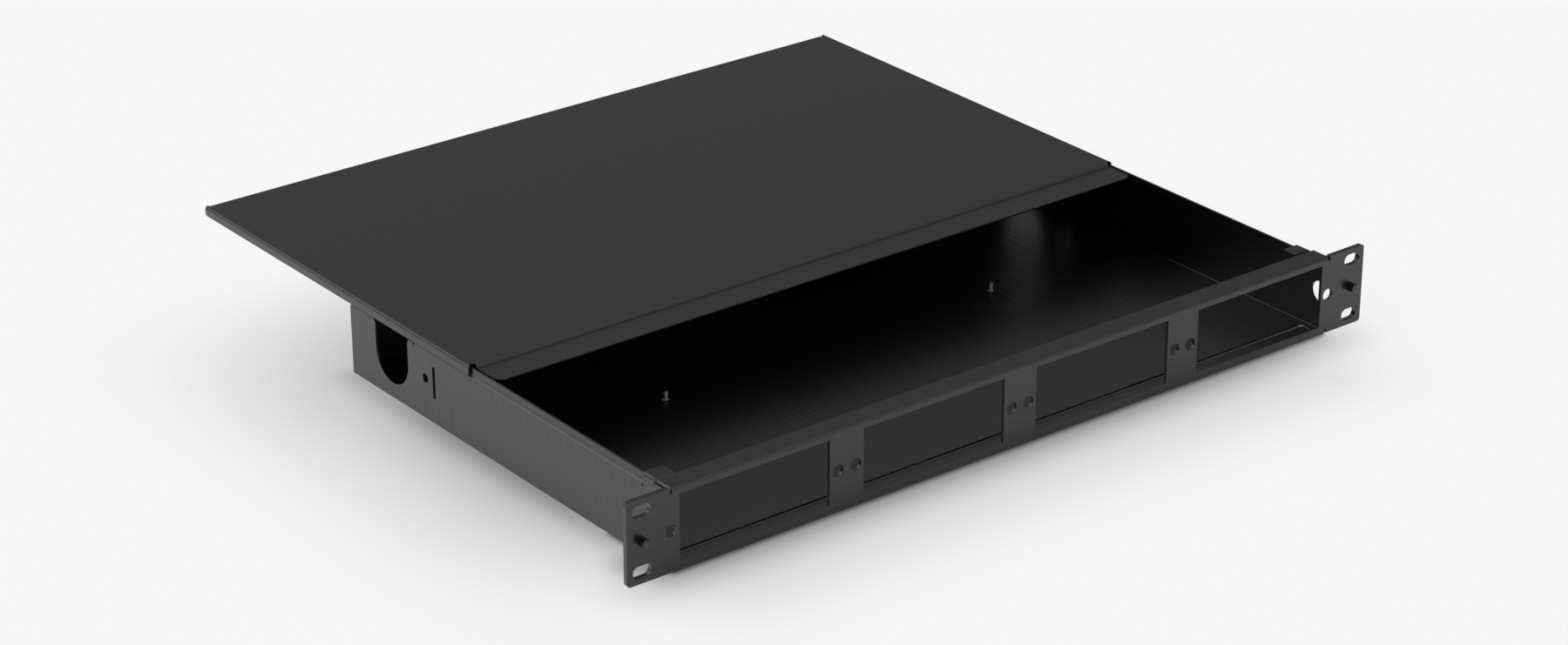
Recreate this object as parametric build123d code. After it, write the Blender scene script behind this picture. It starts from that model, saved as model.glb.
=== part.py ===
"""1U 19-inch rack fiber termination enclosure, unloaded: tray, front panel, rear wall,
sliding cover, studs and fasteners.

Working axes: X right seen from the front, Y from the front face to the rear, Z up from
the lowest bend. On export each piece moves so that the origin is the centre of the
rack-slot pattern, on the rear face of the ears.
"""

from build123d import *

import math
import os

# ---- sheets, mm ----
FRONT_T = 1.7  # front panel
TRAY_T = 1.2  # tray, rear wall and cover
EAR_T = FRONT_T + TRAY_T  # two layers at the rack ears
Z_MID = 23.3  # centre line of slots, windows and latch holes

# ---- rack ears ----
EAR_HALF = 482.6 / 2  # 19-inch panel width
EAR_Z0, EAR_Z1 = 1.1, 45.4
SLOT_X = 465.1 / 2  # EIA-310 column spacing
SLOT_DZ = 31.75 / 2  # outer holes of one rack unit
SLOT_LEN, SLOT_H = 10.8, 6.5
EAR_STUD_R, EAR_STUD_L, EAR_STUD_EDGE = 2.5, 4.3, 0.7
EAR_STUD_SEAT_R = 1.9  # reduced shank pressed through both sheets

# ---- front panel ----
PANEL_HALF = 214.9  # half width of the folded part
PANEL_H = 45.3
TOP_FLANGE = 11.5
BOTTOM_FLANGE = 12.5  # depth, also of the rear wall's lower flange
BOTTOM_FLANGE_HALF = 211.2
BOTTOM_TRIM_Y0 = 2.9  # where the lower flange narrows
PANEL_BEND_TOP, PANEL_BEND_BOTTOM, PANEL_BEND_IN = 1.7, 1.3, 0.3
RELIEF_W = 1.2  # corner relief between ear and folds
RELIEF_Z0, RELIEF_Z1 = 3.4, 42.7
EAR_INNER = PANEL_HALF + RELIEF_W
WINDOW_W, WINDOW_H = 89.5, 35.7
WINDOW_PITCH = 110.57
LATCH_DX = 49.76  # latch hole from window centre
LATCH_R = 3.3

# ---- tray ----
BODY_HALF = 215.2  # outer half width of tray and cover
BODY_IN = BODY_HALF - TRAY_T  # inner half width
WALL_CUT = (BODY_IN - 1, BODY_HALF + 1)  # X range of cuts through a side wall
BODY_D = 279.2  # front face to rear wall outer face
WALL_Y0 = 3.0
FLOOR_Y0 = 13.9  # front cut edge of the floor
FLOOR_Z = FRONT_T  # underside, level with the top of the panel's lower flange
FLOOR_TOP = FLOOR_Z + TRAY_T
FLOOR_CUT_HALF = 211.7
EDGE_R, BEND_IN = 0.5, 0.4

JOGGLE_Z0, JOGGLE_Z1 = 38.4, 39.7
JOGGLE_R = 0.5
JOGGLE_DROP = 0.55  # how much lower the inner surface starts its slope
JOIN_Z = JOGGLE_Z0 - 1  # straight upper parts overlap the wall from here
LIP_HALF = 213.75  # outer half width over the joggled lip
LIP_Z = 43.5
FRONT_WALL_Z = 42.7  # wall top under the front panel's flange
FRONT_SLIT_Z = 41.8  # bottom of the slit in front of the tab
SLIT_Z = 37.2  # bottom of the other slits
SLIT_W = 0.8
SLIT_TOP = 50  # clear above the tray
TAB_Y0, TAB_Y1 = 13.5, 22.5
TAB_INNER = 203.4
TAB_Z = 44.9
TAB_CORNER_R = 2.0
EAR_BEND_R = 0.8  # inner radius of the ear flange bend
EAR_BEND_Y1 = 4.5
EAR_SETBACK = 0.15  # tray ear inside the panel's ear edge

NOTCH_Y, NOTCH_R, NOTCH_BOTTOM = 240.5, 15.0, 8.7
NOTCH_SHOULDER_Z = 39.2
NOTCH_FLARE, NOTCH_MOUTH_R = 2.6, 2.5
NOTCH_FLAT = (220.2, 260.6)  # part of the wall left without the joggle
ANCHOR_HOLE = (209.6, 23.1, 2.45)  # y, z, radius
ANCHOR_SLOT = (201.7, 23.25, 2.4, 18.0)  # y, z, width, height
LATCH_CLEAR = (4.2, 23.9, 6.0)  # y, z, radius

# ---- rear wall ----
REAR_Z1 = 43.3
REAR_SIDE_Z0, REAR_SIDE_Z1 = 4.0, 36.0
REAR_SIDE_D = 12.0
REAR_SIDE_JOIN = 210.0  # X where the side flange profile overlaps the wall

# ---- cover, standing slid rearwards ----
COVER_TOP = 44.9
COVER_UNDER = COVER_TOP - TRAY_T
COVER_FLANGE_Z = 39.6
COVER_Y0, COVER_Y1 = 168.3, 426.2
COVER_SIDE_Y0 = COVER_Y0 + 0.9  # front end of the side flanges
COVER_BEND_R, COVER_BEND_IN = 1.8, 0.6
COVER_CUT_Z = (40, 46)  # Z range of cuts through the top sheet
TONGUE_Y0 = 149.0
TONGUE_HALF = 211.3
TONGUE_TOP = 43.35
TONGUE_CORNER_R = 4
REAR_FLANGE_HALF = BODY_HALF - 2.0
COVER_TAB_X, COVER_TAB_W, COVER_TAB_Z = 150.0, 14.0, 27.5
COVER_TAB_R = 3

# ---- cover screws and clinched nuts ----
SCREW_Z = 33.0
SCREW_HOLE_R = 1.45
SCREW_NECK_R, SCREW_R = 1.15, 1.5
SCREW_TIP = 7.2  # tip from the inner face of the cover tab
SCREW_CHAMFER = 0.6  # length of the tapered tip
HEAD_R, HEAD_Y0, HEAD_Y1 = 3.5, 0.3, 4.5  # Y from the outer face of the tab
DRIVE_SLOT_W, DRIVE_SLOT_Y = 0.8, 3.4
GRIP_COUNT, GRIP_RING_R, GRIP_R = 24, 3.62, 0.28
NUT_R, NUT_L, NUT_SHANK_R, NUT_BORE_R = 3.2, 2.2, 2.1, 1.6

# ---- floor studs and earthing point ----
FLOOR_STUD_X, FLOOR_STUD_Y = 109.6, 148.8
FLOOR_STUD_R, FLOOR_STUD_TOP, FLOOR_STUD_EDGE = 1.5, 7.65, 0.4
FLOOR_STUD_SEAT_R = 2.1
EARTH_X, EARTH_Y = 0.0, 250.0
EARTH_R, EARTH_L, EARTH_EDGE, EARTH_SEAT_R = 2.5, 11.8, 0.5, 3.2
WASHER_R, WASHER_BORE_R, WASHER_T = 5.0, 2.65, 1.0
EARTH_NUT_AF, EARTH_NUT_H, EARTH_NUT_BORE_R = 8.0, 4.0, 2.55


# ---- helpers ----
def box(x0, x1, y0, y1, z0, z1):
    return Pos((x0 + x1) / 2, (y0 + y1) / 2, (z0 + z1) / 2) * Box(x1 - x0, y1 - y0, z1 - z0)


def unit(du, dv):
    length = math.hypot(du, dv)
    return du / length, dv / length


def rounded(corners, to3):
    """Closed face from (u, v, radius) corners; to3 maps (u, v) into space."""
    count = len(corners)
    ends = []  # per corner: arc start, arc middle (None if sharp), arc end
    for i, (u, v, radius) in enumerate(corners):
        if radius <= 0:
            ends.append(((u, v), None, (u, v)))
            continue
        before, after = corners[i - 1], corners[(i + 1) % count]
        back = unit(before[0] - u, before[1] - v)
        ahead = unit(after[0] - u, after[1] - v)
        half = math.acos(back[0] * ahead[0] + back[1] * ahead[1]) / 2
        tangent = radius / math.tan(half)
        depth = radius / math.sin(half) - radius  # corner to arc middle
        inward = unit(back[0] + ahead[0], back[1] + ahead[1])
        ends.append((
            (u + back[0] * tangent, v + back[1] * tangent),
            (u + inward[0] * depth, v + inward[1] * depth),
            (u + ahead[0] * tangent, v + ahead[1] * tangent),
        ))
    edges = []
    for i, (start, mid, end) in enumerate(ends):
        if mid is not None:
            edges.append(Edge.make_three_point_arc(to3(*start), to3(*mid), to3(*end)))
        following = ends[(i + 1) % count][0]
        if math.dist(following, end) > 1e-6:
            edges.append(Edge.make_line(to3(*end), to3(*following)))
    return Face(Wire(edges))


def prism_x(corners, x0, x1):
    """Corners are (y, z, radius)."""
    return Solid.extrude(rounded(corners, lambda u, v: (x0, u, v)), Vector(x1 - x0, 0, 0))


def prism_y(corners, y0, y1):
    """Corners are (x, z, radius)."""
    return Solid.extrude(rounded(corners, lambda u, v: (u, y0, v)), Vector(0, y1 - y0, 0))


def prism_z(corners, z0, z1):
    """Corners are (x, y, radius)."""
    return Solid.extrude(rounded(corners, lambda u, v: (u, v, z0)), Vector(0, 0, z1 - z0))


def cyl_x(y, z, r, x0, x1):
    return Pos((x0 + x1) / 2, y, z) * Rot(0, 90, 0) * Cylinder(r, x1 - x0)


def cyl_y(x, z, r, y0, y1):
    return Pos(x, (y0 + y1) / 2, z) * Rot(90, 0, 0) * Cylinder(r, y1 - y0)


def cyl_z(x, y, r, z0, z1):
    return Pos(x, y, (z0 + z1) / 2) * Cylinder(r, z1 - z0)


def slot_y(x, z, length, height, y0, y1):
    """Obround along X, cut through Y."""
    r = height / 2
    reach = length / 2 - r
    slot = box(x - reach, x + reach, y0, y1, z - r, z + r)
    return slot + cyl_y(x - reach, z, r, y0, y1) + cyl_y(x + reach, z, r, y0, y1)


def hex_z(x, y, across, z0, z1):
    r = across / math.sqrt(3)
    angles = [math.radians(a) for a in range(0, 360, 60)]
    return prism_z([(x + r * math.cos(a), y + r * math.sin(a), 0) for a in angles], z0, z1)


def both(shape):
    """The shape and its mirror image on the other side."""
    return shape + mirror(shape, about=Plane.YZ)


def dome_y(x, z, r, y_base, y_tip, edge):
    """Round pin along Y, its tip edge rounded by edge."""
    corners = [(0, y_base, 0), (r, y_base, 0), (r, y_tip, edge), (0, y_tip, 0)]
    face = rounded(corners, lambda u, v: (x + u, v, z))
    return Solid.revolve(face, 360, Axis((x, 0, z), (0, 1, 0)))


def dome_z(x, y, r, z_base, z_tip, edge):
    """Round pin along Z, its tip edge rounded by edge."""
    corners = [(0, z_base, 0), (r, z_base, 0), (r, z_tip, edge), (0, z_tip, 0)]
    face = rounded(corners, lambda u, v: (x + u, y, v))
    return Solid.revolve(face, 360, Axis((x, y, 0), (0, 0, 1)))


def put(name, shape):
    """Move a piece to the rack origin and write its STEP file."""
    moved = Pos(0, -EAR_T, -Z_MID) * shape
    solids = moved.solids()
    moved = solids[0] if len(solids) == 1 else Compound(children=list(solids))
    moved.label = name
    export_step(moved, f"parts/{name}.step")


def ear_cuts(y0, y1):
    """Rack slots and stud seats of both ears."""
    cuts = []
    for side in (-1, 1):
        for level in (-1, 1):
            z = Z_MID + level * SLOT_DZ
            cuts.append(slot_y(side * SLOT_X, z, SLOT_LEN, SLOT_H, y0, y1))
        cuts.append(cyl_y(side * SLOT_X, Z_MID, EAR_STUD_SEAT_R, y0, y1))
    return sum(cuts[1:], cuts[0])


def ear_plates(y0, y1, edge_half):
    return both(prism_y([
        (EAR_INNER, EAR_Z0, 0),
        (edge_half, EAR_Z0, 2.0),
        (edge_half, EAR_Z1, 1.5),
        (EAR_INNER, EAR_Z1, 0.6),
    ], y0, y1))


# ---- pieces ----
def front_panel():
    t = FRONT_T
    panel = prism_x([
        (0, 0, PANEL_BEND_BOTTOM),
        (BOTTOM_FLANGE, 0, 0),
        (BOTTOM_FLANGE, t, 0),
        (t, t, PANEL_BEND_IN),
        (t, PANEL_H - t, PANEL_BEND_IN),
        (TOP_FLANGE, PANEL_H - t, 0),
        (TOP_FLANGE, PANEL_H, 0),
        (0, PANEL_H, PANEL_BEND_TOP),
    ], -PANEL_HALF, PANEL_HALF)
    panel -= both(box(
        BOTTOM_FLANGE_HALF, PANEL_HALF + 1, BOTTOM_TRIM_Y0, BOTTOM_FLANGE + 1, -1, 3))
    # bridges to the ears, between the corner reliefs
    panel += both(box(PANEL_HALF - 1, EAR_INNER + 0.5, 0, t, RELIEF_Z0, RELIEF_Z1))
    panel += ear_plates(0, t, EAR_HALF)
    # four windows, each between two latch holes
    for i in (-1.5, -0.5, 0.5, 1.5):
        x = i * WINDOW_PITCH
        panel -= box(x - WINDOW_W / 2, x + WINDOW_W / 2, -1, t + 0.5,
                     Z_MID - WINDOW_H / 2, Z_MID + WINDOW_H / 2)
        for side in (-1, 1):
            panel -= cyl_y(x + side * LATCH_DX, Z_MID, LATCH_R, -1, t + 1)
    return panel - ear_cuts(-1, t + 1)


def floor_and_walls():
    return prism_y([
        (-BODY_HALF, 0, EDGE_R),
        (-BODY_IN, 0, 0),
        (-BODY_IN, FLOOR_Z, 0),
        (BODY_IN, FLOOR_Z, 0),
        (BODY_IN, 0, 0),
        (BODY_HALF, 0, EDGE_R),
        (BODY_HALF, JOGGLE_Z0, 0),
        (BODY_IN, JOGGLE_Z0, 0),
        (BODY_IN, FLOOR_TOP, BEND_IN),
        (-BODY_IN, FLOOR_TOP, BEND_IN),
        (-BODY_IN, JOGGLE_Z0, 0),
        (-BODY_HALF, JOGGLE_Z0, 0),
    ], WALL_Y0, BODY_D)


def lips(y0, y1):
    """Wall tops joggled inwards."""
    return both(prism_y([
        (BODY_HALF, JOGGLE_Z0 - 0.6, 0),
        (BODY_HALF, JOGGLE_Z0, JOGGLE_R),
        (LIP_HALF, JOGGLE_Z1, JOGGLE_R),
        (LIP_HALF, LIP_Z, 0),
        (LIP_HALF - TRAY_T, LIP_Z, 0),
        (LIP_HALF - TRAY_T, JOGGLE_Z1 - JOGGLE_DROP, JOGGLE_R),
        (BODY_IN, JOGGLE_Z0 - JOGGLE_DROP, JOGGLE_R),
        (BODY_IN, JOGGLE_Z0 - 1.2, 0),
        (BODY_HALF, JOGGLE_Z0 - 1.2, 0),
    ], y0, y1))


def cable_entry():
    """Cutter for the notch open at the top, with a rounded mouth."""
    y0, y1 = NOTCH_Y - NOTCH_R, NOTCH_Y + NOTCH_R
    # trimmed so that a short straight edge stays between the arcs
    bottom, bottom_r = NOTCH_BOTTOM + 0.01, NOTCH_R - 0.02
    return prism_x([
        (y0 - NOTCH_FLARE, NOTCH_SHOULDER_Z + 1, 0),
        (y0 - NOTCH_FLARE, NOTCH_SHOULDER_Z, 0),
        (y0, NOTCH_SHOULDER_Z, NOTCH_MOUTH_R),
        (y0, bottom, bottom_r),
        (y1, bottom, bottom_r),
        (y1, NOTCH_SHOULDER_Z, NOTCH_MOUTH_R),
        (y1 + NOTCH_FLARE, NOTCH_SHOULDER_Z, 0),
        (y1 + NOTCH_FLARE, NOTCH_SHOULDER_Z + 1, 0),
    ], *WALL_CUT)


def anchor_slot():
    y, z, width, height = ANCHOR_SLOT
    signs = ((-1, -1), (1, -1), (1, 1), (-1, 1))
    corners = [(y + i * width / 2, z + j * height / 2, width / 2 - 0.01) for i, j in signs]
    return prism_x(corners, *WALL_CUT)


def tray():
    body = floor_and_walls()
    body += lips(TAB_Y1 + SLIT_W, NOTCH_FLAT[0] - SLIT_W)
    body += lips(NOTCH_FLAT[1] + SLIT_W, BODY_D)
    # front end of the wall, and the web left below the slit
    slit_y0 = TAB_Y0 - SLIT_W
    body += both(box(BODY_IN, BODY_HALF, WALL_Y0, slit_y0, JOIN_Z, FRONT_WALL_Z))
    body += both(box(BODY_IN, BODY_HALF, slit_y0 - 0.5, TAB_Y0 + 0.5, JOIN_Z, FRONT_SLIT_Z))
    # tab folded inwards
    body += both(prism_y([
        (BODY_HALF, JOIN_Z, 0),
        (BODY_HALF, TAB_Z, 2.0),
        (TAB_INNER, TAB_Z, 0),
        (TAB_INNER, TAB_Z - TRAY_T, 0),
        (BODY_IN, TAB_Z - TRAY_T, 0.8),
        (BODY_IN, JOIN_Z, 0),
    ], TAB_Y0, TAB_Y1))
    round_x, round_y = TAB_INNER + TAB_CORNER_R, TAB_Y1 - TAB_CORNER_R
    body -= both(
        box(TAB_INNER - 1, round_x, round_y, TAB_Y1 + 1, TAB_Z - 3, TAB_Z + 1)
        - cyl_z(round_x, round_y, TAB_CORNER_R, TAB_Z - 3, TAB_Z + 1)
    )
    # slits beside the tab
    body -= both(box(*WALL_CUT, slit_y0, TAB_Y0, FRONT_SLIT_Z, SLIT_TOP))
    body -= both(box(*WALL_CUT, TAB_Y1, TAB_Y1 + SLIT_W, SLIT_Z, SLIT_TOP))
    # straight wall beside the cable entry, between two slits
    body += both(box(BODY_IN, BODY_HALF, *NOTCH_FLAT, JOIN_Z, NOTCH_SHOULDER_Z))
    for y in (NOTCH_FLAT[0] - SLIT_W, NOTCH_FLAT[1]):
        body -= both(box(*WALL_CUT, y, y + SLIT_W, SLIT_Z, SLIT_TOP))
    body -= both(cable_entry())
    body -= both(cyl_x(*ANCHOR_HOLE, *WALL_CUT))
    body -= both(anchor_slot())
    # ear flanges turned outwards behind the front panel's ears
    body += both(prism_z([
        (BODY_IN, EAR_BEND_Y1, 0),
        (BODY_IN, FRONT_T, TRAY_T + EAR_BEND_R),
        (EAR_INNER + 2, FRONT_T, 0),
        (EAR_INNER + 2, EAR_T, 0),
        (BODY_HALF, EAR_T, EAR_BEND_R),
        (BODY_HALF, EAR_BEND_Y1, 0),
    ], RELIEF_Z0, RELIEF_Z1))
    body += ear_plates(FRONT_T, EAR_T, EAR_HALF - EAR_SETBACK)
    body -= ear_cuts(FRONT_T - 0.5, EAR_T + 0.5)
    # clearance for the end latch of the adapter plates, across the bend
    clear_y, clear_z, clear_r = LATCH_CLEAR
    body -= both(cyl_x(*LATCH_CLEAR, *WALL_CUT))
    body -= both(cyl_y(
        1.5 * WINDOW_PITCH + LATCH_DX, clear_z, clear_r, FRONT_T - 0.5, clear_y))
    # floor cut back behind the panel's lower flange, and at the rear wall
    body -= box(-FLOOR_CUT_HALF, FLOOR_CUT_HALF, -1, FLOOR_Y0, -1, FLOOR_TOP + 1)
    body -= box(-BODY_IN, BODY_IN, BODY_D - TRAY_T, BODY_D + 1, -1, FLOOR_TOP + 1)
    # seats of the floor studs and earth stud
    body -= both(cyl_z(FLOOR_STUD_X, FLOOR_STUD_Y, FLOOR_STUD_SEAT_R, -1, FLOOR_TOP + 1))
    return body - cyl_z(EARTH_X, EARTH_Y, EARTH_SEAT_R, -1, FLOOR_TOP + 1)


def rear_wall():
    inner_y = BODY_D - TRAY_T
    wall = prism_x([
        (BODY_D, FLOOR_Z - TRAY_T, TRAY_T + 0.4),
        (BODY_D, REAR_Z1, 0),
        (inner_y, REAR_Z1, 0),
        (inner_y, FLOOR_Z, 0),
        (BODY_D - BOTTOM_FLANGE, FLOOR_Z, 0),
        (BODY_D - BOTTOM_FLANGE, FLOOR_Z - TRAY_T, 0),
    ], -BOTTOM_FLANGE_HALF, BOTTOM_FLANGE_HALF)
    # side flanges folded forwards inside the tray walls
    wall += both(prism_z([
        (REAR_SIDE_JOIN, inner_y, 0),
        (BODY_IN - TRAY_T, inner_y, 0.8),
        (BODY_IN - TRAY_T, BODY_D - REAR_SIDE_D, 0),
        (BODY_IN, BODY_D - REAR_SIDE_D, 0),
        (BODY_IN, BODY_D, 2.0),
        (REAR_SIDE_JOIN, BODY_D, 0),
    ], REAR_SIDE_Z0, REAR_SIDE_Z1))
    return wall - both(cyl_y(COVER_TAB_X, SCREW_Z, NUT_SHANK_R, inner_y - 1, BODY_D + 1))


def cover_tongue():
    """Front tongue, stepped down from the cover's top."""
    under = TONGUE_TOP - TRAY_T
    tongue = prism_x([
        (TONGUE_Y0, under, 0.2),
        (COVER_Y0 + 0.9, under, 0.8),
        (COVER_Y0 + 1.7, COVER_UNDER, 0.5),
        (COVER_Y0 + 6, COVER_UNDER, 0),
        (COVER_Y0 + 6, COVER_TOP, 0),
        (COVER_Y0 + 0.3, COVER_TOP, 0.8),
        (COVER_Y0 - 0.5, TONGUE_TOP, 0.5),
        (TONGUE_Y0, TONGUE_TOP, 0.3),
    ], -TONGUE_HALF, TONGUE_HALF)
    round_x, round_y = TONGUE_HALF - TONGUE_CORNER_R, TONGUE_Y0 + TONGUE_CORNER_R
    return tongue - both(
        box(round_x, TONGUE_HALF + 1, TONGUE_Y0 - 1, round_y, *COVER_CUT_Z)
        - cyl_z(round_x, round_y, TONGUE_CORNER_R, *COVER_CUT_Z)
    )


def top_cover():
    cover = prism_y([
        (-BODY_HALF, COVER_FLANGE_Z, 0),
        (-BODY_HALF, COVER_TOP, COVER_BEND_R),
        (BODY_HALF, COVER_TOP, COVER_BEND_R),
        (BODY_HALF, COVER_FLANGE_Z, 0),
        (BODY_IN, COVER_FLANGE_Z, 0),
        (BODY_IN, COVER_UNDER, COVER_BEND_IN),
        (-BODY_IN, COVER_UNDER, COVER_BEND_IN),
        (-BODY_IN, COVER_FLANGE_Z, 0),
    ], COVER_SIDE_Y0, COVER_Y1)
    # rounded lower corners of the side flanges: end, outward direction, radius
    for y_end, out, r in ((COVER_Y1, 1, 2.2), (COVER_SIDE_Y0, -1, 0.9)):
        y0, y1 = sorted((y_end - out * r, y_end + out))
        cover -= both(
            box(BODY_IN - 0.3, BODY_HALF + 1, y0, y1, COVER_FLANGE_Z - 1, COVER_FLANGE_Z + r)
            - cyl_x(y_end - out * r, COVER_FLANGE_Z + r, r, BODY_IN - 1, BODY_HALF + 2)
        )
    # the tongue replaces the front strip of the top
    cover -= box(-TONGUE_HALF, TONGUE_HALF, COVER_Y0 - 2, COVER_Y0 + 4,
                 COVER_UNDER - 0.3, COVER_TOP + 1)
    cover += cover_tongue()
    # corner relief between side flange and tongue
    cover -= both(box(TONGUE_HALF, BODY_HALF + 1, COVER_Y0 - 2, COVER_Y0 + 1.0, 38, 46))
    cover -= both(box(
        TONGUE_HALF - 0.2, BODY_HALF - 1.0, COVER_Y0 - 2, COVER_Y0 + 2.1, *COVER_CUT_Z))
    # rear edge of the top cut away between the corners, then folded down
    cover -= box(
        -BODY_HALF - 1, BODY_HALF + 1, COVER_Y1 - 1.79, COVER_Y1 + 1,
        COVER_UNDER - 0.7, COVER_TOP + 1,
    ) - both(box(REAR_FLANGE_HALF, BODY_HALF + 1, COVER_Y1 - 3, COVER_Y1 + 2, 38, 46))
    inner_y = COVER_Y1 - TRAY_T
    cover += prism_x([
        (COVER_Y1 - 4, COVER_TOP, 0),
        (COVER_Y1, COVER_TOP, COVER_BEND_R),
        (COVER_Y1, COVER_FLANGE_Z, 0),
        (inner_y, COVER_FLANGE_Z, 0),
        (inner_y, COVER_UNDER, COVER_BEND_IN),
        (COVER_Y1 - 4, COVER_UNDER, 0),
    ], -REAR_FLANGE_HALF, REAR_FLANGE_HALF)
    # two screw tabs
    tab_x0, tab_x1 = COVER_TAB_X - COVER_TAB_W / 2, COVER_TAB_X + COVER_TAB_W / 2
    cover += both(prism_y([
        (tab_x0, COVER_TAB_Z, COVER_TAB_R),
        (tab_x1, COVER_TAB_Z, COVER_TAB_R),
        (tab_x1, COVER_FLANGE_Z + 1, 0),
        (tab_x0, COVER_FLANGE_Z + 1, 0),
    ], inner_y, COVER_Y1))
    return cover - both(cyl_y(COVER_TAB_X, SCREW_Z, SCREW_HOLE_R, inner_y - 1, COVER_Y1 + 1))


def cover_screw(x):
    inner_y = COVER_Y1 - TRAY_T
    tip_y = inner_y - SCREW_TIP
    taper_y = tip_y + SCREW_CHAMFER
    screw = cyl_y(x, SCREW_Z, SCREW_NECK_R, inner_y - 1.2, COVER_Y1 + 1.0)
    screw += cyl_y(x, SCREW_Z, SCREW_R, tip_y, inner_y - 0.6)
    cone = Rot(90, 0, 0) * Cone(1.6, 1.0, SCREW_CHAMFER)
    screw -= (cyl_y(x, SCREW_Z, 2.5, tip_y - 0.1, taper_y)
              - Pos(x, (tip_y + taper_y) / 2, SCREW_Z) * cone)
    # slotted head with a ring of grip grooves
    head = cyl_y(x, SCREW_Z, HEAD_R, COVER_Y1 + HEAD_Y0, COVER_Y1 + HEAD_Y1)
    head -= box(x - 4, x + 4, COVER_Y1 + DRIVE_SLOT_Y, COVER_Y1 + 5,
                SCREW_Z - DRIVE_SLOT_W / 2, SCREW_Z + DRIVE_SLOT_W / 2)
    for i in range(GRIP_COUNT):
        angle = math.radians(360 / GRIP_COUNT * i)
        head -= cyl_y(x + GRIP_RING_R * math.cos(angle), SCREW_Z + GRIP_RING_R * math.sin(angle),
                      GRIP_R, COVER_Y1 + 0.8, COVER_Y1 + 4.0)
    return screw + head


def clinch_nut(x):
    inner_y = BODY_D - TRAY_T
    nut = cyl_y(x, SCREW_Z, NUT_R, inner_y - NUT_L, inner_y)
    nut += cyl_y(x, SCREW_Z, NUT_SHANK_R, inner_y - 0.5, BODY_D)
    return nut - cyl_y(x, SCREW_Z, NUT_BORE_R, BODY_D - 6, BODY_D + 1)


def ear_stud(x):
    pin = dome_y(x, Z_MID, EAR_STUD_R, 0.0, -EAR_STUD_L, EAR_STUD_EDGE)
    return pin + cyl_y(x, Z_MID, EAR_STUD_SEAT_R, 0.0, EAR_T)


def floor_stud(x, y, r, top, edge, seat_r):
    """Domed pin on a wider seat filling the floor hole."""
    return dome_z(x, y, r, FLOOR_Z, top, edge) + cyl_z(x, y, seat_r, FLOOR_Z, FLOOR_TOP)


def earth_washer():
    ring = cyl_z(EARTH_X, EARTH_Y, WASHER_R, FLOOR_TOP, FLOOR_TOP + WASHER_T)
    return ring - cyl_z(EARTH_X, EARTH_Y, WASHER_BORE_R, FLOOR_TOP - 1, FLOOR_TOP + 2)


def earth_nut():
    z0 = FLOOR_TOP + WASHER_T
    nut = hex_z(EARTH_X, EARTH_Y, EARTH_NUT_AF, z0, z0 + EARTH_NUT_H)
    return nut - cyl_z(EARTH_X, EARTH_Y, EARTH_NUT_BORE_R, z0 - 1, z0 + EARTH_NUT_H + 1)


os.makedirs("parts", exist_ok=True)
put("front_panel", front_panel())
put("tray", tray())
put("rear_wall", rear_wall())
put("top_cover", top_cover())
for side, sign in (("left", -1), ("right", 1)):
    put(f"cover_screw_{side}", cover_screw(sign * COVER_TAB_X))
    put(f"clinch_nut_{side}", clinch_nut(sign * COVER_TAB_X))
    put(f"ear_stud_{side}", ear_stud(sign * SLOT_X))
    put(f"floor_stud_{side}", floor_stud(
        sign * FLOOR_STUD_X, FLOOR_STUD_Y, FLOOR_STUD_R, FLOOR_STUD_TOP,
        FLOOR_STUD_EDGE, FLOOR_STUD_SEAT_R))
put("earth_stud", floor_stud(
    EARTH_X, EARTH_Y, EARTH_R, FLOOR_TOP + EARTH_L, EARTH_EDGE, EARTH_SEAT_R))
put("earth_washer", earth_washer())
put("earth_nut", earth_nut())
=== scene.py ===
"""Looks, stage and camera for a 1U rack fiber termination enclosure, built on its CAD pieces.

Metres. X runs along the width, with the ears at both ends. The front panel faces -Y, the tray
runs back along +Y, and +Z is up. The enclosure rests on the floor at the bottom of the CAD bounds.
"""
import math
from functools import reduce

import bpy
import bmesh
from mathutils import Matrix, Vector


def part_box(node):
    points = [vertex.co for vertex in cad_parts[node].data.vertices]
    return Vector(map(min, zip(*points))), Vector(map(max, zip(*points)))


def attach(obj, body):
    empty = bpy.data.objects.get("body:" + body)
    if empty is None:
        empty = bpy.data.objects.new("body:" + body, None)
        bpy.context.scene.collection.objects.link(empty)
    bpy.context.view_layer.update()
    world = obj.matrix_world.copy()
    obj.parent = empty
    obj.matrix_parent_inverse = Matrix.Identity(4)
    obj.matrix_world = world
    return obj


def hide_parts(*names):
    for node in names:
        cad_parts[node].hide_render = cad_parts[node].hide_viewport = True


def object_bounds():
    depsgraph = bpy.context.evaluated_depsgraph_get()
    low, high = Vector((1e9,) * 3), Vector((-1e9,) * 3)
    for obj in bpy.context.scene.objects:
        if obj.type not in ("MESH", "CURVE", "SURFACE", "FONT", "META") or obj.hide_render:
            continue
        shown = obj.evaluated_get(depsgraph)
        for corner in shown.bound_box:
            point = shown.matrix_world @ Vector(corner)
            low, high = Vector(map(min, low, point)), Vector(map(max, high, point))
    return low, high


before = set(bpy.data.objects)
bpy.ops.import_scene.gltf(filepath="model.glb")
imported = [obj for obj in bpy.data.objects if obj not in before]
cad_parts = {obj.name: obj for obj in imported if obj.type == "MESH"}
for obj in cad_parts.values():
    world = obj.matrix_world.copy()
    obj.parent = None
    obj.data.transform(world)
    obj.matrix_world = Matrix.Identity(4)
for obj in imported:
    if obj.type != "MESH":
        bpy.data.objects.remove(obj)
cad_box = [list(map(float, c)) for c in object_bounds()]
scene = bpy.context.scene

SIDES = ("left", "right")
WHITE = (1, 1, 1, 1)


def centre_of(node):
    low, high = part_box(node)
    return (low + high) / 2


# ---------------------------------------------------------------- shader graph


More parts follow.
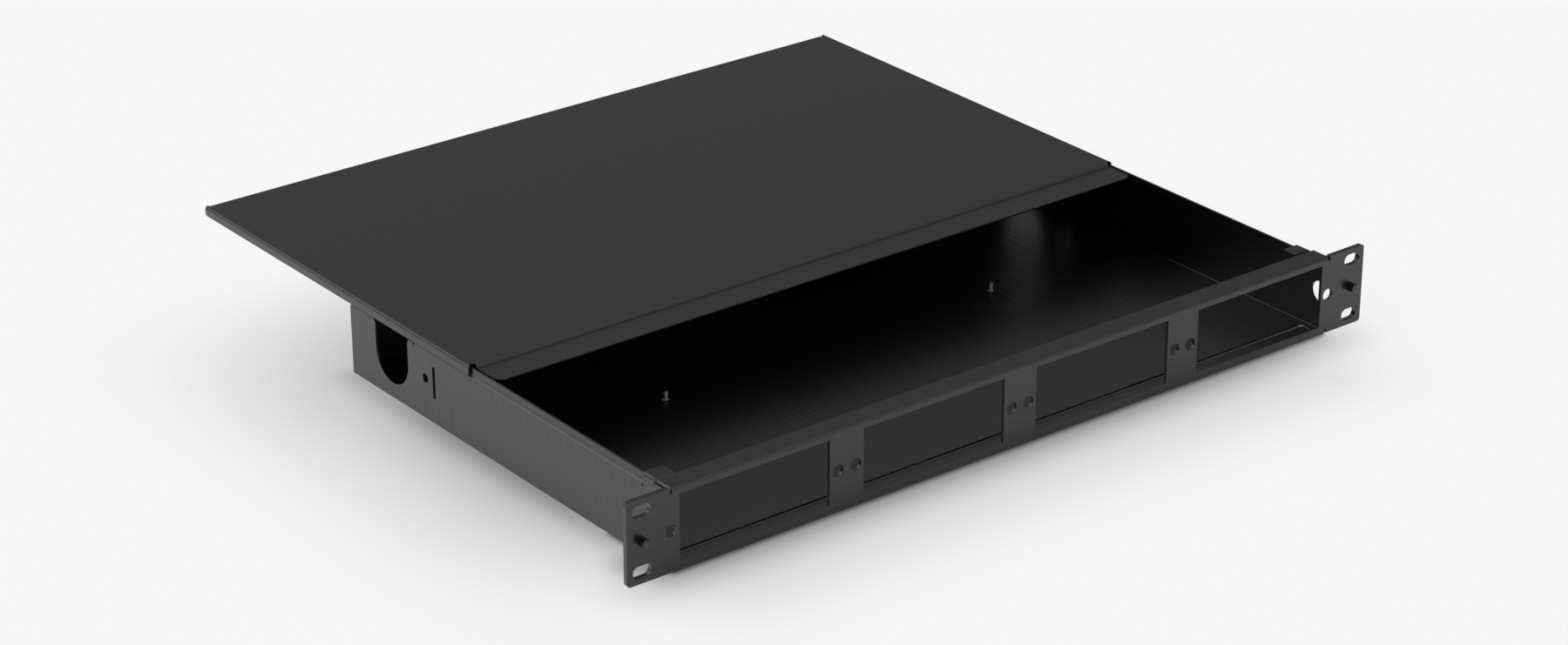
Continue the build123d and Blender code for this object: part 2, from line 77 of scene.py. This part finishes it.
class Graph:
    """Empties the node tree of a material or world and wires new nodes in it."""

    def __init__(self, owner, output_kind="ShaderNodeOutputMaterial"):
        owner.use_nodes = True
        self.tree = owner.node_tree
        self.tree.nodes.clear()
        self.surface = self.node(output_kind).inputs["Surface"]

    def node(self, kind, **settings):
        node = self.tree.nodes.new(kind)
        for key, value in settings.items():
            setattr(node, key, value)
        return node

    def put(self, socket, value):
        """Link value into the socket if it is a socket too, otherwise set it."""
        if isinstance(value, bpy.types.NodeSocket):
            self.tree.links.new(value, socket)
        else:
            socket.default_value = value

    def fill(self, node, **values):
        """Put values into inputs by name, with _ standing for a space."""
        for key, value in values.items():
            self.put(node.inputs[key.replace("_", " ")], value)

    def math(self, operation, *values, clamp=False):
        node = self.node("ShaderNodeMath", operation=operation, use_clamp=clamp)
        for socket, value in zip(node.inputs, values):
            self.put(socket, value)
        return node.outputs[0]

    def add(self, a, b, clamp=False):
        return self.math("ADD", a, b, clamp=clamp)

    def subtract(self, a, b):
        return self.math("SUBTRACT", a, b)

    def multiply(self, a, b):
        return self.math("MULTIPLY", a, b)

    def total(self, terms):
        return reduce(self.add, terms)

    def swing(self, noise, gain):
        """Noise centred on zero, times gain."""
        return self.multiply(self.subtract(noise, 0.5), gain)

    def remaining(self, loss):
        """What is left of 1 after a loss, never below 0."""
        return self.math("MAXIMUM", self.subtract(1.0, loss), 0.0)

    def vector_math(self, operation, a, b):
        node = self.node("ShaderNodeVectorMath", operation=operation)
        self.put(node.inputs[0], a)
        self.put(node.inputs[1], b)
        return node.outputs["Value" if operation == "DOT_PRODUCT" else "Vector"]

    def combine(self, x, y, z):
        node = self.node("ShaderNodeCombineXYZ")
        self.fill(node, X=x, Y=y, Z=z)
        return node.outputs[0]

    def separate(self, vector):
        node = self.node("ShaderNodeSeparateXYZ")
        self.put(node.inputs[0], vector)
        return node.outputs

    def noise(self, vector, scale=1.0, detail=2.0, rough=0.5):
        node = self.node("ShaderNodeTexNoise")
        self.fill(node, Vector=vector, Scale=scale, Detail=detail, Roughness=rough)
        return node.outputs["Fac"]

    def remap(self, value, start, end, to_start=0.0, to_end=1.0, curve="LINEAR"):
        """Map start..end to to_start..to_end, clamped."""
        node = self.node("ShaderNodeMapRange", interpolation_type=curve)
        for socket, number in zip(node.inputs, (value, start, end, to_start, to_end)):
            self.put(socket, number)
        return node.outputs[0]

    def smooth_step(self, value, start, end):
        return self.remap(value, start, end, curve="SMOOTHSTEP")

    def window(self, value, low, high, fade, shift=0.0):
        """1 between low and high, with a soft step of half width fade at each end."""
        rise = self.smooth_step(value, low - fade + shift, low + fade + shift)
        fall = self.smooth_step(value, high - fade + shift, high + fade + shift)
        return self.multiply(rise, self.subtract(1.0, fall))

    def mix_colour(self, factor, a, b):
        node = self.node("ShaderNodeMix", data_type="RGBA")
        for index, value in ((0, factor), (6, a), (7, b)):
            self.put(node.inputs[index], value)
        return node.outputs[2]

    def mix_value(self, factor, a, b):
        node = self.node("ShaderNodeMix", data_type="FLOAT")
        for index, value in ((0, factor), (2, a), (3, b)):
            self.put(node.inputs[index], value)
        return node.outputs[0]

    def round_edges(self, radius, samples, full_at):
        """Rounded normal, and an edge mask that is full where the two normals' dot is full_at."""
        geometry = self.node("ShaderNodeNewGeometry")
        bevel = self.node("ShaderNodeBevel", samples=samples)
        self.fill(bevel, Radius=radius)
        normal = bevel.outputs[0]
        agreement = self.vector_math("DOT_PRODUCT", normal, geometry.outputs["Normal"])
        return normal, self.remap(agreement, 0.995, full_at)

    def bump(self, height, normal, distance, strength=1.0):
        node = self.node("ShaderNodeBump")
        self.fill(node, Strength=strength, Distance=distance, Height=height, Normal=normal)
        return node.outputs[0]


def principled(name):
    material = bpy.data.materials.new(name)
    graph = Graph(material)
    shader = graph.node("ShaderNodeBsdfPrincipled")
    graph.put(graph.surface, shader.outputs["BSDF"])
    return material, graph, shader


def rgba(colour, gain=1.0, lift=0.0):
    return tuple(min(1.0, c * gain + lift) for c in colour) + (1,)


# ---------------------------------------------------------------- materials
PAINT = (0.0022, 0.0022, 0.0023)
# paler edge colour: partly rubbed paint, partly a painted highlight on bends and cut edges
RUBBED_EDGE_AND_HIGHLIGHT_PAINT = (0.034, 0.034, 0.035)
PAINT_IOR = 1.6

# bump heights of the paint
BROAD_STREAK_DEPTH = 0.00009
FINE_STREAK_DEPTH = 0.0000045
ORANGE_PEEL_DEPTH = 0.00000375

# streak noise frequencies, per metre
BROAD_ACROSS = 430.0
FINE_ACROSS = 1500.0
ALONG_UPRIGHT = 62.0
ALONG_LEVEL = 24.0
FINE_ALONG_GAIN = 1.7


def sheet_paint(name, rough=0.30, streak=0.5, grain=0.5, edge_radius=0.00015):
    """Black satin powder coat over brushed sheet: streaks, fine orange peel, paler edges that are
    partly rubbed wear and partly a painted highlight.

    Streaks run along Y on level faces and along Z on upright ones."""
    material, graph, shader = principled(name)
    coords = graph.node("ShaderNodeTexCoord")
    position = coords.outputs["Object"]
    x, y, z = graph.separate(position)
    facing = graph.separate(coords.outputs["Normal"])

    def looks_along(axis):
        return graph.math("GREATER_THAN", graph.math("ABSOLUTE", facing[axis]), 0.7)

    side = looks_along("X")
    level = looks_along("Z")
    across = graph.mix_value(side, x, y)
    along = graph.mix_value(level, z, y)
    along_rate = graph.mix_value(level, ALONG_UPRIGHT, ALONG_LEVEL)
    seed = graph.multiply(side, 7.3)    # side faces get their own streaks

    # broad soft streaks tilt the surface, hair-fine ones lie on top
    broad_place = graph.combine(
        graph.multiply(across, BROAD_ACROSS),
        graph.multiply(along, along_rate),
        seed)
    broad = graph.noise(broad_place, detail=1.0)
    fine_place = graph.combine(
        graph.multiply(across, FINE_ACROSS),
        graph.multiply(along, graph.multiply(along_rate, FINE_ALONG_GAIN)),
        graph.add(seed, 3.1))
    fine = graph.noise(fine_place, rough=0.55)
    # coating: orange peel, speckle, patches, slow drift of gloss
    peel = graph.noise(position, scale=1250.0, rough=0.55)
    speck = graph.noise(position, scale=3600.0, detail=1.0)
    patch = graph.noise(position, scale=55.0, detail=3.0, rough=0.55)
    drift = graph.noise(position, scale=8.0, detail=1.0)

    # edges are paler in uneven dots: partly rubbed wear, partly a painted highlight along bends and
    # cut edges
    normal, rim = graph.round_edges(edge_radius, samples=8, full_at=0.85)
    edge_wear_and_highlight_noise = graph.noise(position, scale=380.0, detail=3.0, rough=0.6)
    edge_wear_and_highlight = graph.multiply(rim, graph.remap(edge_wear_and_highlight_noise, 0.40, 0.66, to_start=0.25))

    tone = graph.total((
        graph.swing(speck, gain=1.6 * grain),
        graph.swing(fine, gain=1.2 * streak),
        graph.swing(patch, gain=0.6),
    ))
    tone = graph.add(tone, 0.5, clamp=True)
    colour = graph.mix_colour(tone, rgba(PAINT, gain=0.78), rgba(PAINT, gain=1.25))
    # edges turn paler: part rubbed wear, part painted highlight
    colour = graph.mix_colour(graph.multiply(edge_wear_and_highlight, 0.25), colour, rgba(RUBBED_EDGE_AND_HIGHLIGHT_PAINT))

    roughness = graph.total((
        rough,
        graph.swing(fine, gain=0.05 * streak),
        graph.swing(speck, gain=0.07 * grain),
        graph.swing(patch, gain=0.022),
        graph.swing(drift, gain=0.014),
        graph.multiply(edge_wear_and_highlight, -0.06),    # rubbed edges are glossier
    ))

    normal = graph.bump(broad, normal, distance=BROAD_STREAK_DEPTH * streak)
    normal = graph.bump(fine, normal, distance=FINE_STREAK_DEPTH * streak)
    normal = graph.bump(peel, normal, distance=ORANGE_PEEL_DEPTH)
    graph.fill(shader, Base_Color=colour, Roughness=roughness, Metallic=0.0,
               IOR=PAINT_IOR, Normal=normal)
    return material


def plated_steel(name, base, rough, axis, centre):
    """Plated hardware: turned rings round the axis, blotchy plating, brighter rubbed edges."""
    material, graph, shader = principled(name)
    position = graph.node("ShaderNodeTexCoord").outputs["Object"]
    offset = graph.separate(graph.vector_math("SUBTRACT", position, tuple(centre)))
    squares = [graph.math("POWER", offset[other], 2.0) for other in "XYZ" if other != axis]
    radius = graph.math("SQRT", graph.add(*squares))
    ring_place = graph.combine(
        graph.multiply(radius, 6000.0),
        graph.multiply(offset[axis], 5000.0),
        0.0)
    rings = graph.noise(ring_place, detail=3.0, rough=0.6)
    blotches = graph.noise(position, scale=700.0, detail=3.0, rough=0.6)
    normal, edge = graph.round_edges(0.00018, samples=6, full_at=0.8)

    colour = graph.mix_colour(blotches, rgba(base, gain=0.7), rgba(base, gain=1.3))
    rubbed = rgba(base, gain=1.6, lift=0.05)
    colour = graph.mix_colour(graph.multiply(edge, 0.5), colour, rubbed)
    roughness = graph.add(rough, graph.swing(rings, gain=0.25))
    normal = graph.bump(rings, normal, distance=0.00003, strength=0.25)
    graph.fill(shader, Base_Color=colour, Metallic=1.0, Roughness=roughness, Normal=normal)
    return material


# ---------------------------------------------------------------- finishes
def assign(node, material):
    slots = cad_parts[node].data.materials
    slots.clear()
    slots.append(material)


def plate(node, name, base, rough, axis):
    assign(node, plated_steel(name, base, rough, axis, centre_of(node)))


assign("front_panel", sheet_paint("paint_front", streak=0.22))
assign("tray", sheet_paint("paint_tray", streak=1.0))
assign("top_cover", sheet_paint("paint_cover", streak=0.12, grain=0.6))
assign("rear_wall", sheet_paint("paint_rear"))
for side in SIDES:
    assign(f"ear_stud_{side}", sheet_paint(
        f"paint_ear_stud_{side}", rough=0.14, streak=0.1, grain=0.4, edge_radius=0.0004))
    plate(f"cover_screw_{side}", f"black_oxide_screw_{side}",
          base=(0.12, 0.12, 0.125), rough=0.36, axis="Y")
    plate(f"clinch_nut_{side}", f"zinc_nut_{side}",
          base=(0.58, 0.58, 0.56), rough=0.30, axis="Y")
for node in ("earth_stud", "earth_washer", "earth_nut"):
    plate(node, f"zinc_{node}", base=(0.62, 0.61, 0.58), rough=0.28, axis="Z")

# ---------------------------------------------------------------- floor
FLOOR_GAP = 0.0003     # the sweep lies this far below the enclosure
FLOOR_HALF = 9.0
FLOOR_LIGHT = 0.93     # radiance of the lit white sweep

FRONT_Y = -0.0029      # front face of the panel
TRAY_HALF = 0.2152
TRAY_BACK = 0.2763
EAR_HALF = 0.2413
EAR_BACK = 0.0001

# Soft shadow of the tray (three layers) and the ears. Half width in x and back in y, metres; strength;
# then in mm: half width of the fade, shift in x, shift in y, growth in x, growth in y
SHADOWS = (
    (TRAY_HALF, TRAY_BACK, 0.159, (9.575, -5.36, -1.60, 4.39, 4.39)),
    (TRAY_HALF, TRAY_BACK, 0.169, (41.56, -7.44, -60.0, 2.49, 2.49)),
    (TRAY_HALF, TRAY_BACK, 0.539, (97.62, -23.2, 42.93, 18.72, 18.72)),
    (EAR_HALF, EAR_BACK, 0.653, (26.99, -5.03, -4.88, -4.64, 0.0)),
)
# Tight painted contact shadow under the panel, and in the corner behind the left ear:
# x span, y span, half width of the fade, strength. The third has no strength.
CONTACTS = (
    ((-TRAY_HALF, TRAY_HALF), (FRONT_Y, 0.0500), 0.008, 0.05),
    ((-TRAY_HALF, TRAY_HALF), (FRONT_Y, 0.0500), 0.0035, 0.90),
    ((-0.2150, EAR_HALF), (FRONT_Y, 0.0120), 0.006, 0.00),
    ((-0.2340, -0.2000), (0.0020, 0.0260), 0.010, 0.40),
)
# The floor as other rays than the camera's see it, in front and at the left side
MIRROR_SHADOW_FRONT = 0.85
MIRROR_SHADOW_LEFT = 0.42
MIRROR_GAIN_FRONT = 1.03
MIRROR_GAIN_LEFT = 1.17


def floor_material():
    """White emitter with the shadows painted in."""
    material = bpy.data.materials.new("studio_floor")
    graph = Graph(material)
    position = graph.node("ShaderNodeTexCoord").outputs["Object"]
    x, y, _ = graph.separate(position)

    layers = []
    for half, back, strength, in_mm in SHADOWS:
        fade, shift_x, shift_y, grow_x, grow_y = (value / 1000.0 for value in in_mm)
        layer = graph.multiply(
            graph.window(x, -half - grow_x, half + grow_x, fade, shift_x),
            graph.window(y, FRONT_Y - grow_y, back + grow_y, fade, shift_y))
        layers.append(graph.multiply(layer, strength))
    shadow = graph.total(layers)

    light = graph.remaining(shadow)
    for x_span, y_span, fade, strength in CONTACTS:
        patch = graph.multiply(graph.window(x, *x_span, fade), graph.window(y, *y_span, fade))
        light = graph.multiply(light, graph.remaining(graph.multiply(patch, strength)))
    grain = graph.noise(position, scale=260.0, rough=0.6)
    light = graph.multiply(light, graph.remap(grain, 0.2, 0.8, 0.9985, 1.0015))

    # the metal sees a shallower shadow, and more light at the left side
    left = graph.multiply(
        graph.subtract(1.0, graph.smooth_step(x, -0.217, -0.213)),
        graph.smooth_step(y, -0.012, 0.010))
    depth = graph.mix_value(left, MIRROR_SHADOW_FRONT, MIRROR_SHADOW_LEFT)
    gain = graph.mix_value(left, MIRROR_GAIN_FRONT, MIRROR_GAIN_LEFT)
    mirrored = graph.multiply(graph.remaining(graph.multiply(shadow, depth)), gain)

    to_camera = graph.node("ShaderNodeLightPath").outputs["Is Camera Ray"]
    strength = graph.multiply(graph.mix_value(to_camera, mirrored, light), FLOOR_LIGHT)
    emission = graph.node("ShaderNodeEmission")
    graph.fill(emission, Color=WHITE, Strength=strength)
    graph.put(graph.surface, emission.outputs[0])
    return material


def add_object(name, data):
    thing = bpy.data.objects.new(name, data)
    scene.collection.objects.link(thing)
    return thing


floor_mesh = bpy.data.meshes.new("studio_floor")
corners = [(x * FLOOR_HALF, y * FLOOR_HALF, 0) for x, y in ((-1, -1), (1, -1), (1, 1), (-1, 1))]
floor_mesh.from_pydata(corners, [], [(0, 1, 2, 3)])
floor = add_object("studio_floor", floor_mesh)
floor.location = (0, 0, cad_box[0][2] - FLOOR_GAP)
floor.data.materials.append(floor_material())

# ---------------------------------------------------------------- world
# Sky radiance: elevation in degrees, then (right, back, left, front), blended between
SKY = (
    (5.0, (0.20, 0.51, 0.35, 0.70)),
    (25.0, (0.00, 0.33, 0.50, 0.85)),
    (45.0, (0.42, 0.62, 0.67, 0.80)),
    (67.0, (0.69, 0.76, 0.74, 0.70)),
)
ZENITH = 0.74
# Softboxes: azimuth from +X, elevation and half width in degrees, then radiance
SOFTBOXES = (
    (123.0, 33.0, 10.0, 2.1),
    (-54.0, 38.0, 5.0, 3.0),
)


def sky_terms(graph, direction, elevation, azimuth):
    """Radiance of each ring of the sky, the zenith and each softbox."""
    quarters = []
    for i in range(4):
        turned = graph.subtract(azimuth, math.radians(90 * i))
        away = graph.math("ARCCOSINE", graph.math("COSINE", turned))
        quarters.append(graph.remap(away, 0.0, math.pi / 2, 1.0, 0.0))

    terms = []
    levels = [level for level, _ in SKY] + [90.0]
    for i, (level, radiances) in enumerate(SKY):
        weight = graph.remap(elevation, level, levels[i + 1], 1.0, 0.0)
        if i:
            rise = graph.remap(elevation, levels[i - 1], level)
            weight = graph.math("MINIMUM", rise, weight)
        ring = graph.total([graph.multiply(*pair) for pair in zip(quarters, radiances)])
        terms.append(graph.multiply(ring, weight))
    terms.append(graph.multiply(graph.remap(elevation, levels[-2], levels[-1]), ZENITH))

    for *angles, radiance in SOFTBOXES:
        turn, rise, half = map(math.radians, angles)
        aim = graph.combine(
            math.cos(rise) * math.cos(turn), math.cos(rise) * math.sin(turn), math.sin(rise))
        off_aim = graph.subtract(graph.vector_math("DOT_PRODUCT", direction, aim), 1.0)
        glow = graph.math("EXPONENT", graph.multiply(off_aim, 1.0 / half ** 2))
        terms.append(graph.multiply(glow, radiance))
    return terms


def studio_world():
    """Studio light as the metal mirrors it; the camera itself sees plain white."""
    world = bpy.data.worlds.new("studio")
    scene.world = world
    graph = Graph(world, "ShaderNodeOutputWorld")
    direction = graph.node("ShaderNodeTexCoord").outputs["Generated"]
    x, y, z = graph.separate(direction)
    elevation = graph.multiply(graph.math("ARCSINE", z), 180.0 / math.pi)
    azimuth = graph.math("ARCTAN2", y, x)
    sky = graph.total(sky_terms(graph, direction, elevation, azimuth))
    sky = graph.multiply(sky, graph.math("GREATER_THAN", z, 0.0))
    to_camera = graph.node("ShaderNodeLightPath").outputs["Is Camera Ray"]
    background = graph.node("ShaderNodeBackground")
    strength = graph.mix_value(to_camera, sky, FLOOR_LIGHT)
    graph.fill(background, Color=WHITE, Strength=strength)
    graph.put(graph.surface, background.outputs[0])


studio_world()

# ---------------------------------------------------------------- camera
# Above the front left, turned towards the enclosure: the camera's own axes and place
CAMERA_RIGHT = (0.7881163600309229, -0.6155241676551519, -0.0016130976539314723)
CAMERA_UP = (0.2583995827239833, 0.3284736543255835, 0.9084793415714351)
CAMERA_BACK = (-0.5586611304714872, -0.7164042556032378, 0.417926648891753)
CAMERA_PLACE = (-1.1499072352133414, -1.287351158798178, 0.8409964080323119)

camera_data = bpy.data.cameras.new("camera")
camera = add_object("camera", camera_data)
camera_matrix = Matrix((CAMERA_RIGHT, CAMERA_UP, CAMERA_BACK)).transposed().to_4x4()
camera_matrix.translation = CAMERA_PLACE
camera.matrix_world = camera_matrix
camera_data.sensor_fit = "HORIZONTAL"
camera_data.sensor_width = 36.0
camera_data.lens = 88.34182
camera_data.shift_x = -0.000483889
camera_data.shift_y = -0.004846111
camera_data.clip_start = 0.02
camera_data.clip_end = 60
scene.camera = camera

scene.view_settings.view_transform = "Standard"
scene.view_settings.look = "None"
scene.view_settings.exposure = 0.0
scene.view_settings.gamma = 1.0

# ---------------------------------------------------------------- threaded floor studs
STUD_RADIUS = 0.0015
STUD_PITCH = 0.0005
STUD_CHAMFER = 0.0005      # height of the chamfered tip
STUD_LIFT = 0.0010         # the thread starts this far above the bottom of the CAD stud
THREAD_DEPTH = 0.61 * STUD_PITCH * 0.5
CHAMFER_DEPTH = THREAD_DEPTH * 1.2
STUD_SEGMENTS = 48
RINGS_PER_PITCH = 8


def thread_radius(height, turn):
    """Radius at a height above the start and a fraction of a turn."""
    phase = (height / STUD_PITCH - turn) % 1.0
    ridge = 1 - abs(2 * phase - 1)
    ridge = min(1.0, max(0.0, (ridge - 0.12) / 0.70))    # flat root and crest
    return STUD_RADIUS - THREAD_DEPTH * (1 - ridge)


def threaded_stud(name, x, y, bottom, top):
    """Round stud with a helical ridge and a chamfered tip, as one closed mesh."""
    bm = bmesh.new()
    steps = int(round((top - bottom) / STUD_PITCH * RINGS_PER_PITCH))
    rings = []
    for i in range(steps + 1):
        z = bottom + (top - bottom) * i / steps
        ring = []
        for k in range(STUD_SEGMENTS):
            angle = 2 * math.pi * k / STUD_SEGMENTS
            radius = thread_radius(z - bottom, k / STUD_SEGMENTS)
            if top - z < STUD_CHAMFER:
                cut = CHAMFER_DEPTH * (1 - (top - z) / STUD_CHAMFER)
                radius = min(radius, STUD_RADIUS - cut)
            if i == 0:
                radius = STUD_RADIUS - THREAD_DEPTH
            place = (x + radius * math.cos(angle), y + radius * math.sin(angle), z)
            ring.append(bm.verts.new(place))
        rings.append(ring)
    for lower, upper in zip(rings, rings[1:]):
        for k in range(STUD_SEGMENTS):
            after = (k + 1) % STUD_SEGMENTS
            wall = bm.faces.new((lower[k], lower[after], upper[after], upper[k]))
            wall.smooth = True
    bm.faces.new(list(reversed(rings[0])))
    bm.faces.new(rings[-1])
    mesh = bpy.data.meshes.new(name)
    bm.to_mesh(mesh)
    bm.free()
    return add_object(name, mesh)


for side in SIDES:
    low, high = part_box(f"floor_stud_{side}")
    centre = centre_of(f"floor_stud_{side}")
    stud = threaded_stud(
        f"floor_stud_{side}_threaded", centre.x, centre.y, low.z + STUD_LIFT, high.z)
    stud.data.materials.append(plated_steel(
        f"black_zinc_stud_{side}", base=(0.16, 0.16, 0.165), rough=0.34, axis="Z", centre=centre))
    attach(stud, "chassis")
    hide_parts(f"floor_stud_{side}")
